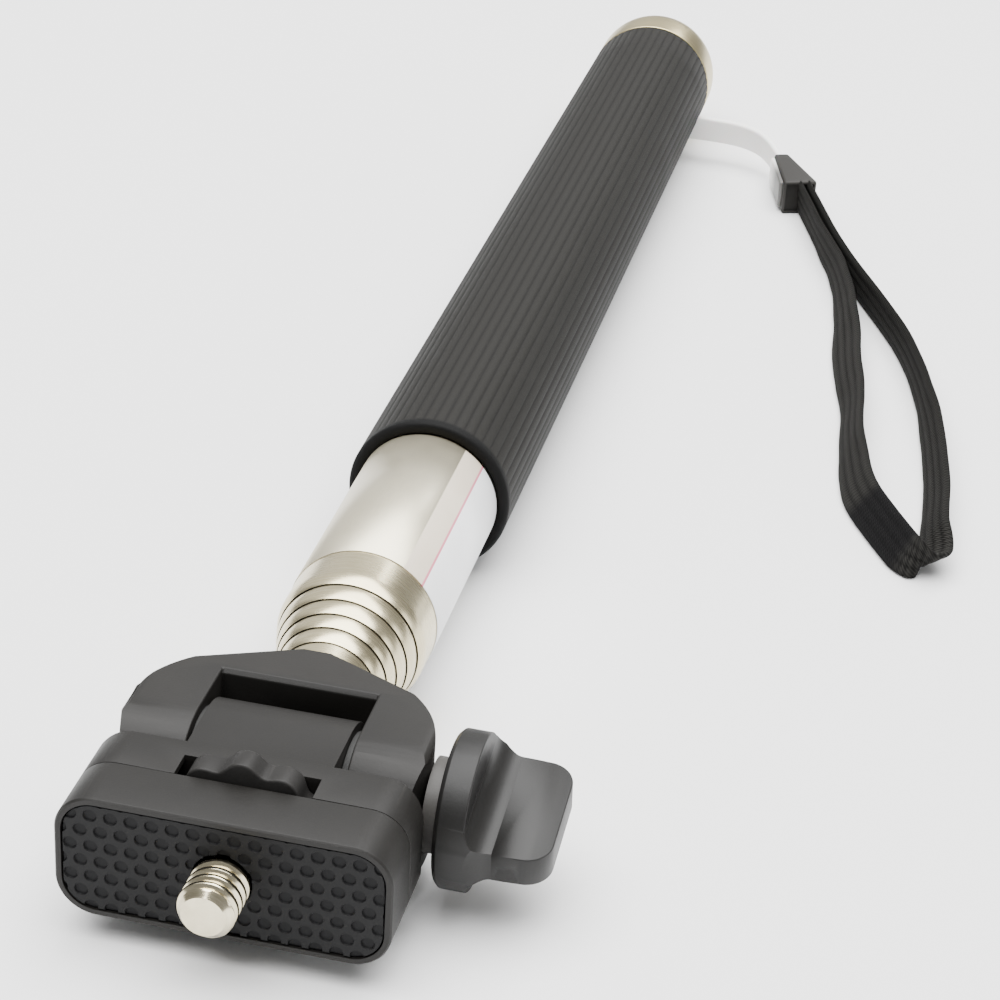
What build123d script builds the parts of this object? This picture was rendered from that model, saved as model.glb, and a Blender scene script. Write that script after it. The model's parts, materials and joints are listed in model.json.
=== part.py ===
"""Telescopic hand-held camera pole with a tilting camera seat and a wrist strap.

Millimetres. The pole's axis is Y, from the camera seat in front to the grip's end cap.
The origin is where the camera screw leaves the rubber pad, and the clamping knob is
at +X. The pole lies on its side, on the plane Z = -sleeve_r.
"""
from math import atan2, cos, hypot, radians, sin, tan
import os

from build123d import *

# Outer tube, grip sleeve and label
tube_r = 9.15
tube_wall = 0.35
tube_step = 0.66
tube_setback = 1.1
sleeve_wall = 1.6
sleeve_front = 85.6
sleeve_rear = 249.1
sleeve_edge = 0.6
label_front = 54.2
label_thickness = 0.10
label_gap = 0.3

# Telescopic tubes: how far their lips stand behind the fork, and their tails
lip_setbacks = [13.2, 10.8, 8.6, 6.6, 4.4]
lip_length = 2.1
tail_gap = 2.5
bush_length = 9.0
bush_split = 2.0

# Fits
running_fit = 0.05
seated_fit = 0.02
bush_fit = 0.04
swivel_gap = 0.2

# End cap and the plug in front of it
cap_gap = 0.1
cap_straight = 5.2
cap_round_r = 3.0
cap_round_end = 13.4
cap_height = 13.7
spigot_length = 1.6
plug_length = 14.0

# Wrist strap's band: an eye round a pin in the plug, then a strip that stands on edge
strap_setback = 6.1
strap_pin_r = 1.0
strap_pin_below = 3.6
strap_pin_above = 8.0
band_rise = 3.88
band_lean = 20.0
band_width = 5.2
band_thickness = 1.2
band_route = [(2.0, 0.0), (10.5, 0.2), (19.0, -0.2), (24.2, -3.1), (26.9, -8.2)]
band_eye_gap = 0.15
band_slot_gap = 0.4

# Wrist strap's crimp and tape: x, and y from the strap's root, of points on the table.
# The route is the tape's middle line.
crimp_front = (31.7, -19.3)
crimp_heading = -67.0
crimp_length = 13.0
crimp_height = 6.0
crimp_front_width = 6.0
crimp_rear_width = 2.6
tape_width = 6.0
tape_thickness = 1.0
tape_route = [
    (31.7, -18.8), (35.0, -28.4), (38.0, -37.8), (41.4, -47.0), (43.9, -58.0),
    (45.8, -70.5), (47.3, -83.0), (49.6, -94.5), (50.3, -105.0), (51.8, -114.5),
    (53.4, -122.4), (57.4, -130.4), (60.6, -136.3), (62.3, -139.2), (64.7, -138.6),
    (65.2, -135.2), (64.5, -129.4), (64.2, -120.5), (62.9, -109.0), (61.2, -97.5),
    (58.7, -85.5), (55.2, -73.2), (50.2, -61.5), (44.4, -49.0), (39.8, -37.6),
    (36.5, -27.9), (33.1, -18.2),
]
corner_share = 0.45

# Head: the seat's section, whose height the fork shares
head_width = 36.4
head_height = 14.86
head_corner = 4.45

# Fork and its hinge
fork_inset = 0.9
fork_corner = 1.5
fork_front_inset = 1.5
fork_corner_setback = 1.3
fork_shoulder_inset = 5.6
fork_shoulder_reach = 9.2
fork_nose_x = 1.6
fork_reach = 14.3
window_clearance = 0.85
window_rear_gap = 0.15
window_chamfer = 0.5
fork_web = 3.0
socket_gap = 0.1
bolt_r = 2.0
bolt_head_flats = 7.0
bolt_head_height = 2.8
bolt_head_depth = 3.6
bolt_beyond_nut = 0.8
washer_rim = 1.0
washer_play = 0.05

# Screw and plug that hold the head on the innermost tube
pole_screw_r = 2.0
pole_screw_head_r = 3.4
pole_screw_head = 1.6
pole_screw_slot = 0.9
pole_screw_reach = 7.0
pole_plug_length = 12.0

# Camera seat
seat_rear_y = 12.9
seat_overlap = 0.53
relief_gap = 0.42
relief_lip = 0.43
parting_y = 6.9
tongue_half = 8.1
tongue_gap = 0.08
tongue_root = 1.5
rim_setback = 0.1
rim_chamfer = 0.2
pad_margin = 0.95
pad_gap = 0.2
pad_thickness = 1.5
seat_screw_x = 13.0
seat_screw_r = 1.2
seat_screw_head_r = 2.2
seat_screw_head = 1.3
seat_screw_end = 11.2

# Thumbwheel and camera screw
wheel_r = 9.75
wheel_valley = 1.0
wheel_lobes = 11
wheel_phase = 2.0
wheel_front = 7.15
wheel_thickness = 3.0
wheel_gap = 0.25
slot_half = 7.5
screw_r = 3.175
screw_reach = 6.1
screw_tip_chamfer = 0.8
screw_neck_r = 2.7
screw_neck_start = 0.1
screw_head_r = 4.6
screw_head = 1.3

# Knob and its nut
knob_washer_r = 5.3
knob_gap = 1.1
knob_r = 8.75
knob_disc = 3.4
knob_neck = 2.5
knob_neck_r = 2.0
knob_half_width = 7.55
knob_half_thickness = 1.9
knob_length = 12.5
knob_corner_r = 3.0
knob_scoop_r = 3.0
knob_angle = 10.0
knob_edge = 0.5
nut_flats = 7.0
nut_length = 2.4
nut_depth = 0.3
nut_gap = 0.4

# Sizes that follow
half_height = head_height / 2
half_width = head_width / 2
fork_half = half_width - fork_inset
seat_setback = half_height - seat_overlap
hinge_y = seat_rear_y + seat_setback
fork_rear = hinge_y + fork_reach
tube_fronts = [fork_rear + setback for setback in lip_setbacks]
tube_count = len(tube_fronts) + 1
sleeve_r = tube_r + sleeve_wall
table_z = -sleeve_r
cap_front = sleeve_rear + cap_gap
plug_r = tube_r - tube_wall - seated_fit
plug_rear = cap_front - spigot_length - cap_gap
plug_front = plug_rear - plug_length
tube_rear = plug_rear - tube_setback
inner_tube_rear = plug_front - tail_gap
strap_y = sleeve_rear - strap_setback
band_root_z = band_rise - plug_r
tongue_r = half_height - tongue_gap
window_half = tongue_half + window_clearance
window_rear = hinge_y + tongue_r + window_rear_gap
socket_y = window_rear + fork_web
screw_seat_y = window_rear + pole_screw_head
wheel_rear = wheel_front + wheel_thickness
knob_x = half_width + knob_gap


def radius_of(number):
    """Outer radius of a tube, where number 1 is the outermost."""
    return tube_r - tube_step * (number - 1)


def facing_front(y):
    """Plane across the pole at y: its axes are X and Z, and its normal is -Y."""
    return Plane(origin=(0, y, 0), x_dir=(1, 0, 0), z_dir=(0, -1, 0))


def facing_side(x):
    """Plane across the hinge at x: its axes are Y and Z from the hinge, its normal is X."""
    return Plane(origin=(x, hinge_y, 0), x_dir=(0, 1, 0), z_dir=(1, 0, 0))


def corner_radii(points):
    """Radius of each corner of a route: a share of its shorter run, over half its turn."""
    radii = []
    for before, here, after in zip(points, points[1:], points[2:]):
        run_in = (here[0] - before[0], here[1] - before[1])
        run_out = (after[0] - here[0], after[1] - here[1])
        turn = abs(atan2(run_in[0] * run_out[1] - run_in[1] * run_out[0],
                         run_in[0] * run_out[0] + run_in[1] * run_out[1]))
        radii.append(corner_share * min(hypot(*run_in), hypot(*run_out)) / tan(turn / 2))
    return radii


def finish(part, name):
    """Label a finished piece and write it."""
    part.label = name
    export_step(part, f"parts/{name}.step")


def tube_outline(number, front, rear):
    """Half section of a tube whose lip closes on the next tube, in radius and y."""
    outer = radius_of(number)
    inner = outer - tube_wall
    mouth = radius_of(number + 1) + running_fit
    with BuildLine() as outline:
        Line((outer, rear), (outer, front + lip_length))
        TangentArc((outer, front + lip_length), (mouth, front), tangent=(0, -1))
        Polyline((mouth, front), (mouth, front + lip_length), (inner, front + lip_length + tube_wall),
                 (inner, rear), (outer, rear))
    return outline.line


def strap_slot():
    """Slot from the pole's axis out through its right side, that the strap's band lies in."""
    with BuildSketch(band_plane) as slot:
        with Locations((sleeve_r, 0)):
            Rectangle(2 * sleeve_r, band_thickness + 2 * band_slot_gap)
    extrude(slot.sketch, amount=band_width / 2 + band_slot_gap, both=True, mode=Mode.SUBTRACT)


def pin_hole(radius):
    """Blind hole for the strap's pin, open at the top."""
    with BuildSketch(band_plane.offset(-strap_pin_below - seated_fit)) as hole:
        Circle(radius)
    extrude(hole.sketch, amount=strap_pin_below + 2 * tube_r, mode=Mode.SUBTRACT)


def bore(x_from, length, radius):
    """Hole along the hinge's axis."""
    with BuildSketch(facing_side(x_from)) as hole:
        Circle(radius)
    extrude(hole.sketch, amount=length, mode=Mode.SUBTRACT)


os.makedirs("parts", exist_ok=True)

# Planes of the strap: the band leans back about its own line, the crimp lies on the table
band_plane = Plane(origin=(0, strap_y, band_root_z), x_dir=(1, 0, 0),
                   z_dir=(0, -sin(radians(band_lean)), cos(radians(band_lean))))
crimp_along = (cos(radians(crimp_heading)), sin(radians(crimp_heading)))
crimp_mouth = Plane(origin=(crimp_front[0], strap_y + crimp_front[1], table_z), x_dir=(crimp_along[1], -crimp_along[0], 0),
                    z_dir=(-crimp_along[0], -crimp_along[1], 0))

# Outer tube: thin drawn metal with a rolled lip, slotted for the strap's band
with BuildPart() as tube_1:
    with BuildSketch(Plane.XY):
        add(tube_outline(1, tube_fronts[0], tube_rear))
        make_face()
    revolve(axis=Axis.Y)
    strap_slot()
finish(tube_1.part, "tube_1")

# Label: a thin printed film round the bare part of the outer tube
film_r = tube_r + seated_fit
with BuildPart() as label_film:
    with BuildSketch(facing_front(sleeve_front - label_gap)):
        Circle(film_r + label_thickness)
        Circle(film_r, mode=Mode.SUBTRACT)
    extrude(amount=sleeve_front - label_gap - label_front)
finish(label_film.part, "label_film")

# Grip sleeve
with BuildPart() as grip_sleeve:
    with BuildSketch(facing_front(sleeve_rear)):
        Circle(sleeve_r)
    extrude(amount=sleeve_rear - sleeve_front)
    chamfer(grip_sleeve.edges().filter_by(GeomType.CIRCLE), length=sleeve_edge)
    with BuildSketch(facing_front(sleeve_rear)):
        Circle(film_r)
    extrude(amount=sleeve_rear - sleeve_front, mode=Mode.SUBTRACT)
    strap_slot()
finish(grip_sleeve.part, "grip_sleeve")

# Plug in the outer tube's tail: it holds the strap's pin in a pocket round the band's eye
eye_r = strap_pin_r + band_eye_gap + band_thickness
with BuildPart() as end_plug:
    with BuildSketch(facing_front(plug_rear)):
        Circle(plug_r)
    extrude(amount=plug_rear - plug_front)
    with BuildSketch(band_plane):
        Circle(eye_r + band_slot_gap)
    extrude(amount=band_width / 2 + band_slot_gap, both=True, mode=Mode.SUBTRACT)
    strap_slot()
    pin_hole(strap_pin_r + seated_fit)
finish(end_plug.part, "end_plug")

with BuildPart() as strap_pin:
    with BuildSketch(band_plane.offset(-strap_pin_below)):
        Circle(strap_pin_r)
    extrude(amount=strap_pin_below + strap_pin_above)
finish(strap_pin.part, "strap_pin")

# End cap: a domed cap over the sleeve's end, pressed into the sleeve's bore
with BuildPart() as end_cap:
    with BuildSketch(Plane.XY):
        with BuildLine():
            Polyline((0, cap_front + cap_height), (0, cap_front - spigot_length),
                     (tube_r, cap_front - spigot_length), (tube_r, cap_front), (sleeve_r, cap_front),
                     (sleeve_r, cap_front + cap_straight))
            TangentArc((sleeve_r, cap_front + cap_straight), (cap_round_r, cap_front + cap_round_end),
                       tangent=(0, 1))
            Line((cap_round_r, cap_front + cap_round_end), (0, cap_front + cap_height))
        make_face()
    revolve(axis=Axis.Y)
finish(end_cap.part, "end_cap")

# Inner tubes, each with a split bush on its tail that runs in the tube outside it
for number in range(2, tube_count + 1):
    outer_r = radius_of(number)
    with BuildPart() as tube:
        if number < tube_count:
            with BuildSketch(Plane.XY):
                add(tube_outline(number, tube_fronts[number - 1], inner_tube_rear))
                make_face()
            revolve(axis=Axis.Y)
        else:
            with BuildSketch(facing_front(inner_tube_rear)):
                Circle(outer_r)
                Circle(outer_r - tube_wall, mode=Mode.SUBTRACT)
            extrude(amount=inner_tube_rear - socket_y - swivel_gap)
    finish(tube.part, f"tube_{number}")
    with BuildPart() as bush:
        with BuildSketch(facing_front(inner_tube_rear)):
            Circle(radius_of(number - 1) - tube_wall - bush_fit)
            Circle(outer_r + seated_fit, mode=Mode.SUBTRACT)
            with Locations((0, -outer_r)):
                Rectangle(bush_split, 2 * tube_step, mode=Mode.SUBTRACT)
        extrude(amount=bush_length)
    finish(bush.part, f"bush_{number}")

# Plug in the innermost tube's front end, and the screw that the head turns on
with BuildPart() as pole_plug:
    with BuildSketch(facing_front(socket_y + swivel_gap + pole_plug_length)):
        Circle(radius_of(tube_count) - tube_wall - seated_fit)
        Circle(pole_screw_r + seated_fit, mode=Mode.SUBTRACT)
    extrude(amount=pole_plug_length)
finish(pole_plug.part, "pole_plug")

with BuildPart() as pole_screw:
    with BuildSketch(facing_front(socket_y + swivel_gap + pole_screw_reach)):
        Circle(pole_screw_r)
    extrude(amount=socket_y + swivel_gap + pole_screw_reach - screw_seat_y)
    with BuildSketch(facing_front(screw_seat_y)):
        Circle(pole_screw_head_r)
    extrude(amount=pole_screw_head)
    with BuildSketch(facing_front(window_rear + pole_screw_head / 2)):
        Rectangle(2 * pole_screw_head_r, pole_screw_slot)
    extrude(amount=pole_screw_head / 2, mode=Mode.SUBTRACT)
finish(pole_screw.part, "pole_screw")

# Fork: two round-fronted arms, and a web behind the window that the screw passes
arm_front = hinge_y - half_height
arm_front_corner = (fork_half - fork_front_inset, arm_front)
corner_start = (fork_half, hinge_y - fork_corner_setback)
shoulder = (half_width - fork_shoulder_inset, hinge_y + fork_shoulder_reach)
with BuildPart() as fork:
    with BuildSketch(Plane.XY):
        with BuildLine():
            Polyline((0, fork_rear), (0, arm_front), arm_front_corner, corner_start)
            TangentArc(corner_start, shoulder, tangent=(0, 1))
            Polyline(shoulder, (fork_nose_x, fork_rear), (0, fork_rear))
        make_face()
        mirror(about=Plane.YZ)
    extrude(amount=half_height, both=True)
    with BuildSketch(facing_front(fork_rear)):
        RectangleRounded(2 * fork_half, head_height, fork_corner)
    extrude(amount=fork_rear - arm_front, mode=Mode.INTERSECT)
    with BuildSketch(facing_side(0)):
        Circle(half_height)
        with Locations(((fork_rear - hinge_y) / 2, 0)):
            Rectangle(fork_rear - hinge_y, head_height)
    extrude(amount=fork_half, both=True, mode=Mode.INTERSECT)
    with BuildSketch(Plane.XY):
        with Locations((0, (window_rear + arm_front) / 2)):
            Rectangle(2 * window_half, window_rear - arm_front)
    extrude(amount=half_height, both=True, mode=Mode.SUBTRACT)
    window_sill = fork.edges().filter_by(Axis.X).filter_by_position(Axis.Y, window_rear, window_rear)
    chamfer(window_sill, length=window_chamfer)
    with BuildSketch(facing_front(fork_rear)):
        Circle(radius_of(tube_count) + socket_gap)
    extrude(amount=fork_rear - socket_y, mode=Mode.SUBTRACT)
    with BuildSketch(facing_front(socket_y)):
        Circle(pole_screw_r + running_fit)
    extrude(amount=fork_web, mode=Mode.SUBTRACT)
    with BuildSketch(facing_front(screw_seat_y + running_fit)):
        Circle(pole_screw_head_r + running_fit)
    extrude(amount=pole_screw_head + running_fit, mode=Mode.SUBTRACT)
    bore(-fork_half, 2 * fork_half, bolt_r + running_fit)
    with BuildSketch(facing_side(-fork_half)):
        RegularPolygon(bolt_head_flats / 2 + seated_fit, 6, major_radius=False)
    extrude(amount=bolt_head_depth, mode=Mode.SUBTRACT)
finish(fork.part, "fork")

# Hinge bolt: its hex head sits in the left arm, and its thread ends in the knob's nut
bolt_seat_x = -fork_half + bolt_head_depth
bolt_end_x = knob_x + nut_depth + nut_length + bolt_beyond_nut
with BuildPart() as hinge_bolt:
    with BuildSketch(facing_side(bolt_seat_x)):
        RegularPolygon(bolt_head_flats / 2, 6, major_radius=False)
    extrude(amount=-bolt_head_height)
    with BuildSketch(facing_side(bolt_seat_x)):
        Circle(bolt_r)
    extrude(amount=bolt_end_x - bolt_seat_x)
finish(hinge_bolt.part, "hinge_bolt")

# Thin washers: a pair between the tongue and the arms, and one under the knob
with BuildPart() as friction_washers:
    for side in (-1, 1):
        with BuildSketch(facing_side(side * (tongue_half + washer_play))):
            Circle(tongue_r - washer_rim)
            Circle(bolt_r + running_fit, mode=Mode.SUBTRACT)
        extrude(amount=side * (window_clearance - 2 * washer_play))
finish(friction_washers.part, "friction_washers")

with BuildPart() as knob_washer:
    with BuildSketch(facing_side(fork_half + washer_play)):
        Circle(knob_washer_r)
        Circle(bolt_r + running_fit, mode=Mode.SUBTRACT)
    extrude(amount=knob_x - fork_half - 2 * washer_play)
finish(knob_washer.part, "knob_washer")

# Knob: a round disc that thins through two hollows into a flat paddle
broad_side = Plane(origin=(knob_x, hinge_y, 0), x_dir=(1, 0, 0),
                   z_dir=(0, -sin(radians(knob_angle)), cos(radians(knob_angle))))
narrow_side = Plane(origin=(knob_x, hinge_y, 0), x_dir=(1, 0, 0),
                    z_dir=(0, -cos(radians(knob_angle)), -sin(radians(knob_angle))))
with BuildPart() as knob:
    with BuildSketch(broad_side):
        with BuildLine():
            Polyline((knob_length, 0), (0, 0), (0, knob_r), (knob_disc, knob_r))
            FilletPolyline((knob_disc, knob_r), (knob_disc + knob_neck, knob_half_width),
                           (knob_length, knob_half_width), (knob_length, 0),
                           radius=[knob_neck_r, knob_corner_r])
        make_face()
        mirror(about=Plane.XZ)
    extrude(amount=knob_r, both=True)
    with BuildSketch(narrow_side):
        with BuildLine():
            Polyline((knob_length, 0), (0, 0), (0, knob_r), (knob_disc, knob_r),
                     (knob_disc, knob_half_thickness + knob_scoop_r))
            TangentArc((knob_disc, knob_half_thickness + knob_scoop_r),
                       (knob_disc + knob_scoop_r, knob_half_thickness), tangent=(0, -1))
            Polyline((knob_disc + knob_scoop_r, knob_half_thickness), (knob_length, knob_half_thickness),
                     (knob_length, 0))
        make_face()
        mirror(about=Plane.XZ)
    extrude(amount=knob_r, both=True, mode=Mode.INTERSECT)
    with BuildSketch(facing_side(knob_x)):
        Circle(knob_r)
    extrude(amount=knob_length, mode=Mode.INTERSECT)
    inner_rim = knob.faces().sort_by(Axis.X)[0].edges()
    chamfer(inner_rim, length=knob_edge)
    with BuildSketch(facing_side(knob_x)):
        RegularPolygon(nut_flats / 2 + seated_fit, 6, major_radius=False)
    extrude(amount=nut_depth + nut_length + seated_fit, mode=Mode.SUBTRACT)
    bore(knob_x, bolt_end_x - knob_x + nut_gap, bolt_r + running_fit)
finish(knob.part, "knob")

with BuildPart() as knob_nut:
    with BuildSketch(facing_side(knob_x + nut_depth)):
        RegularPolygon(nut_flats / 2, 6, major_radius=False)
        Circle(bolt_r + running_fit, mode=Mode.SUBTRACT)
    extrude(amount=nut_length)
finish(knob_nut.part, "knob_nut")

# Camera seat, rear half: a pocket for the wheel in front, the hinge's tongue behind
relief_half = half_height - relief_lip
with BuildPart() as seat_rear:
    with BuildSketch(facing_front(seat_rear_y)):
        RectangleRounded(head_width, head_height, head_corner)
    extrude(amount=seat_rear_y - parting_y)
    with BuildSketch(facing_side(0)):
        with BuildLine():
            ThreePointArc((-seat_setback, -relief_half), (-half_height - relief_gap, 0),
                          (-seat_setback, relief_half))
            Line((-seat_setback, relief_half), (-seat_setback, -relief_half))
        make_face()
    extrude(amount=half_width, both=True, mode=Mode.SUBTRACT)
    with BuildSketch(facing_side(0)):
        Circle(tongue_r)
        with Locations((-(seat_setback + tongue_root) / 2, 0)):
            Rectangle(seat_setback + tongue_root, 2 * tongue_r)
    extrude(amount=tongue_half, both=True)
    bore(-tongue_half, 2 * tongue_half, bolt_r + running_fit)
    with BuildSketch(facing_front(wheel_rear + wheel_gap)):
        Circle(wheel_r + wheel_gap)
        Rectangle(2 * slot_half, head_height)
    extrude(amount=wheel_rear + wheel_gap - parting_y, mode=Mode.SUBTRACT)
    with BuildSketch(facing_front(seat_screw_end + seated_fit)):
        with Locations((-seat_screw_x, 0), (seat_screw_x, 0)):
            Circle(seat_screw_r + seated_fit)
    extrude(amount=seat_screw_end + seated_fit - parting_y, mode=Mode.SUBTRACT)
finish(seat_rear.part, "seat_rear")

# Camera seat, front half: a rim round the pad's recess, screwed on under the pad
pad_width = head_width - 2 * pad_margin
pad_height = head_height - 2 * pad_margin
recess_y = pad_thickness + seated_fit
seat_screw_y = recess_y + seated_fit + seat_screw_head
with BuildPart() as seat_front:
    with BuildSketch(facing_front(parting_y)):
        RectangleRounded(head_width, head_height, head_corner)
    extrude(amount=parting_y + rim_setback)
    chamfer(seat_front.faces().sort_by(Axis.Y)[0].edges(), length=rim_chamfer)
    with BuildSketch(facing_front(recess_y)):
        RectangleRounded(pad_width + 2 * pad_gap, pad_height + 2 * pad_gap, head_corner - pad_margin + pad_gap)
    extrude(amount=recess_y + rim_setback, mode=Mode.SUBTRACT)
    with BuildSketch(facing_front(parting_y)):
        Circle(screw_r + running_fit)
        with Locations((-seat_screw_x, 0), (seat_screw_x, 0)):
            Circle(seat_screw_r + seated_fit)
    extrude(amount=parting_y, mode=Mode.SUBTRACT)
    with BuildSketch(facing_front(seat_screw_y + seated_fit)):
        with Locations((-seat_screw_x, 0), (seat_screw_x, 0)):
            Circle(seat_screw_head_r + seated_fit)
    extrude(amount=seat_screw_y, mode=Mode.SUBTRACT)
finish(seat_front.part, "seat_front")

with BuildPart() as seat_screws:
    with BuildSketch(facing_front(seat_screw_end)):
        with Locations((-seat_screw_x, 0), (seat_screw_x, 0)):
            Circle(seat_screw_r)
    extrude(amount=seat_screw_end - seat_screw_y)
    with BuildSketch(facing_front(seat_screw_y)):
        with Locations((-seat_screw_x, 0), (seat_screw_x, 0)):
            Circle(seat_screw_head_r)
    extrude(amount=seat_screw_head)
finish(seat_screws.part, "seat_screws")

with BuildPart() as rubber_pad:
    with BuildSketch(facing_front(pad_thickness)):
        RectangleRounded(pad_width, pad_height, head_corner - pad_margin)
        Circle(screw_r + running_fit, mode=Mode.SUBTRACT)
    extrude(amount=pad_thickness)
finish(rubber_pad.part, "rubber_pad")

# Thumbwheel: round lobes with small round valleys. The camera screw is fixed in it, and
# necks down where it passes the front housing.
lobe_pitch = 360 / wheel_lobes
valley_r = wheel_r * sin(radians(lobe_pitch / 4))
with BuildPart() as thumbwheel:
    with BuildSketch(facing_front(wheel_rear)):
        Circle(wheel_r)
        with PolarLocations(wheel_r - wheel_valley + valley_r, wheel_lobes,
                            start_angle=90 + wheel_phase + lobe_pitch / 2):
            Circle(valley_r, mode=Mode.SUBTRACT)
        Circle(screw_r + seated_fit, mode=Mode.SUBTRACT)
    extrude(amount=wheel_thickness)
    with BuildSketch(facing_front(wheel_rear)):
        Circle(screw_head_r + seated_fit)
    extrude(amount=screw_head + seated_fit, mode=Mode.SUBTRACT)
finish(thumbwheel.part, "thumbwheel")

with BuildPart() as camera_screw:
    with BuildSketch(facing_front(wheel_rear)):
        Circle(screw_r)
    extrude(amount=wheel_rear + screw_reach)
    chamfer(camera_screw.faces().sort_by(Axis.Y)[0].edges(), length=screw_tip_chamfer)
    with BuildSketch(facing_front(wheel_front)):
        Circle(screw_r)
        Circle(screw_neck_r, mode=Mode.SUBTRACT)
    extrude(amount=wheel_front - screw_neck_start, mode=Mode.SUBTRACT)
    with BuildSketch(facing_front(wheel_rear)):
        Circle(screw_head_r)
    extrude(amount=screw_head)
finish(camera_screw.part, "camera_screw")

# Strap's band: the strip ends flush on the crimp's rear face
band_radii = corner_radii(band_route)
with BuildPart() as strap_band:
    with BuildSketch(band_plane):
        with BuildLine() as band_line:
            FilletPolyline(*band_route, radius=band_radii)
        trace(line_width=band_thickness)
        Circle(eye_r)
        Circle(strap_pin_r + band_eye_gap, mode=Mode.SUBTRACT)
    extrude(amount=band_width / 2, both=True)
    split(bisect_by=crimp_mouth.offset(crimp_length), keep=Keep.TOP)
finish(strap_band.part, "strap_band")

# Crimp: a small clamp that widens from the band to the tape
with BuildPart() as strap_crimp:
    with BuildSketch(crimp_mouth):
        with Locations((0, crimp_height / 2)):
            Rectangle(crimp_front_width, crimp_height)
    with BuildSketch(crimp_mouth.offset(crimp_length)):
        with Locations((0, crimp_height / 2)):
            Rectangle(crimp_rear_width, crimp_height)
    loft()
finish(strap_crimp.part, "strap_crimp")

# Tape: one length that leaves the crimp, turns back at the loop's end and returns to it
tape_radii = corner_radii(tape_route)
with BuildPart() as strap_loop:
    with BuildSketch(Plane(origin=(0, strap_y, table_z))):
        with BuildLine() as tape_line:
            FilletPolyline(*tape_route, radius=tape_radii)
        trace(line_width=tape_thickness)
    extrude(amount=tape_width)
    split(bisect_by=crimp_mouth, keep=Keep.BOTTOM)
finish(strap_loop.part, "strap_loop")

tape_length = tape_line.wires()[0].length
tape_volume = tape_length * tape_width * tape_thickness
print("band radii", [round(radius, 1) for radius in band_radii])
print("tape radii", [round(radius, 1) for radius in tape_radii])
print(f"tape length {tape_length:.1f} mm, section by length {tape_volume:.1f} mm3,",
      f"solid {strap_loop.part.volume:.1f} mm3")
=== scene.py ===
# %% [markdown]
# # A telescopic camera pole, one finish and one piece at a time
#
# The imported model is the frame: it holds every piece at its real size and place, in
# metres. This lesson adds the looks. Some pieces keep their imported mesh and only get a
# material. Others are modelled again, in the space that the frame gives them, with the
# detail that a camera sees. The pole lies along Y with its camera seat in front.

# %% Load the frame
import json
from math import asin, atan2, copysign, cos, degrees, hypot, pi, radians, sin

import bmesh
import bpy
from mathutils import Matrix, Vector


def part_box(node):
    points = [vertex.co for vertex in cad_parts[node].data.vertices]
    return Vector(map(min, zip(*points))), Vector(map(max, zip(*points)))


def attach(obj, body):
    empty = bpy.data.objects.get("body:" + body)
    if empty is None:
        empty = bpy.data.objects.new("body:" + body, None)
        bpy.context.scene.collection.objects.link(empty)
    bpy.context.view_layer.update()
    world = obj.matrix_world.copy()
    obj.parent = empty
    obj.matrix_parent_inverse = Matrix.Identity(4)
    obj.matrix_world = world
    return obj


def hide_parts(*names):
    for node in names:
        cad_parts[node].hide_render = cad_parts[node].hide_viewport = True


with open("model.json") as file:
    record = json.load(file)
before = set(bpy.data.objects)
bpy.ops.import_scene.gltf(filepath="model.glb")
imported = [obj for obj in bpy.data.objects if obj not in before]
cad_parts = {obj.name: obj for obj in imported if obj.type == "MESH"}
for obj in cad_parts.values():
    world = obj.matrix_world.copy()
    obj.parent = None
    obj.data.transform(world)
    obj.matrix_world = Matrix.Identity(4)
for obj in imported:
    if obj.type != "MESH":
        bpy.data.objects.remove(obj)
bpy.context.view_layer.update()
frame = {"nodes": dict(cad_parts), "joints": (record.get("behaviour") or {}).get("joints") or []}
nodes = frame["nodes"]
mm = 0.001

# %% [markdown]
# ## The places that several pieces share
#
# A size that the frame holds is read from it, so that a piece stays with what carries it.
# The hinge is the tilt joint's own point, and the ground lies under the grip.

# %% Read shared places from the frame
joints = {joint["name"]: joint for joint in frame["joints"]}
hinge = Vector(joints["head_tilt"]["pos_m"])
grip_low, grip_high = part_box("grip_sleeve")
ground = grip_low.z
tube_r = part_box("tube_1")[1].x
print("hinge at", round(hinge.y / mm, 2), "mm, ground at", round(ground / mm, 2), "mm")

# %% [markdown]
# ## The camera
#
# The photograph was taken from close by, above the camera seat and a little to the right
# of the pole, so the seat looks large and the grip's end small. Measured lines say where
# the camera stood and how far it was turned, tipped down and rolled.

# %% Place the camera
camera_place = Vector((68.616, -211.714, 169.528)) * mm
camera_turn, camera_drop, camera_roll = radians(11.228), radians(29.027), radians(3.631)

camera = bpy.data.objects.new("camera", bpy.data.cameras.new("camera"))
camera.data.sensor_width = 36.0
camera.data.lens = 96.505
camera.data.clip_start, camera.data.clip_end = 0.01, 20.0
camera.location = camera_place
turned, rolled = Matrix.Rotation(camera_turn, 3, "Z"), Matrix.Rotation(camera_roll, 3, "Z")
tipped = Matrix.Rotation(pi / 2 - camera_drop, 3, "X")
camera.rotation_euler = (turned @ tipped @ rolled).to_euler()
bpy.context.collection.objects.link(camera)
bpy.context.scene.camera = camera
print("camera at", [round(part / mm) for part in camera_place], "mm")

# %% [markdown]
# ## Shader maths as plain expressions
#
# A material here is a small tree of nodes. Wiring sums by hand hides what they mean, so
# one class wraps a node's output and lets Python's own operators add the Math nodes. A
# second class holds a material while it is made, and keeps it in `finishes` under its name.
# Its `node` method makes every other kind of node. Whatever is the same all over a surface
# is set on the shader itself.

# %% Wrap sockets and materials
finishes = {}


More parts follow.
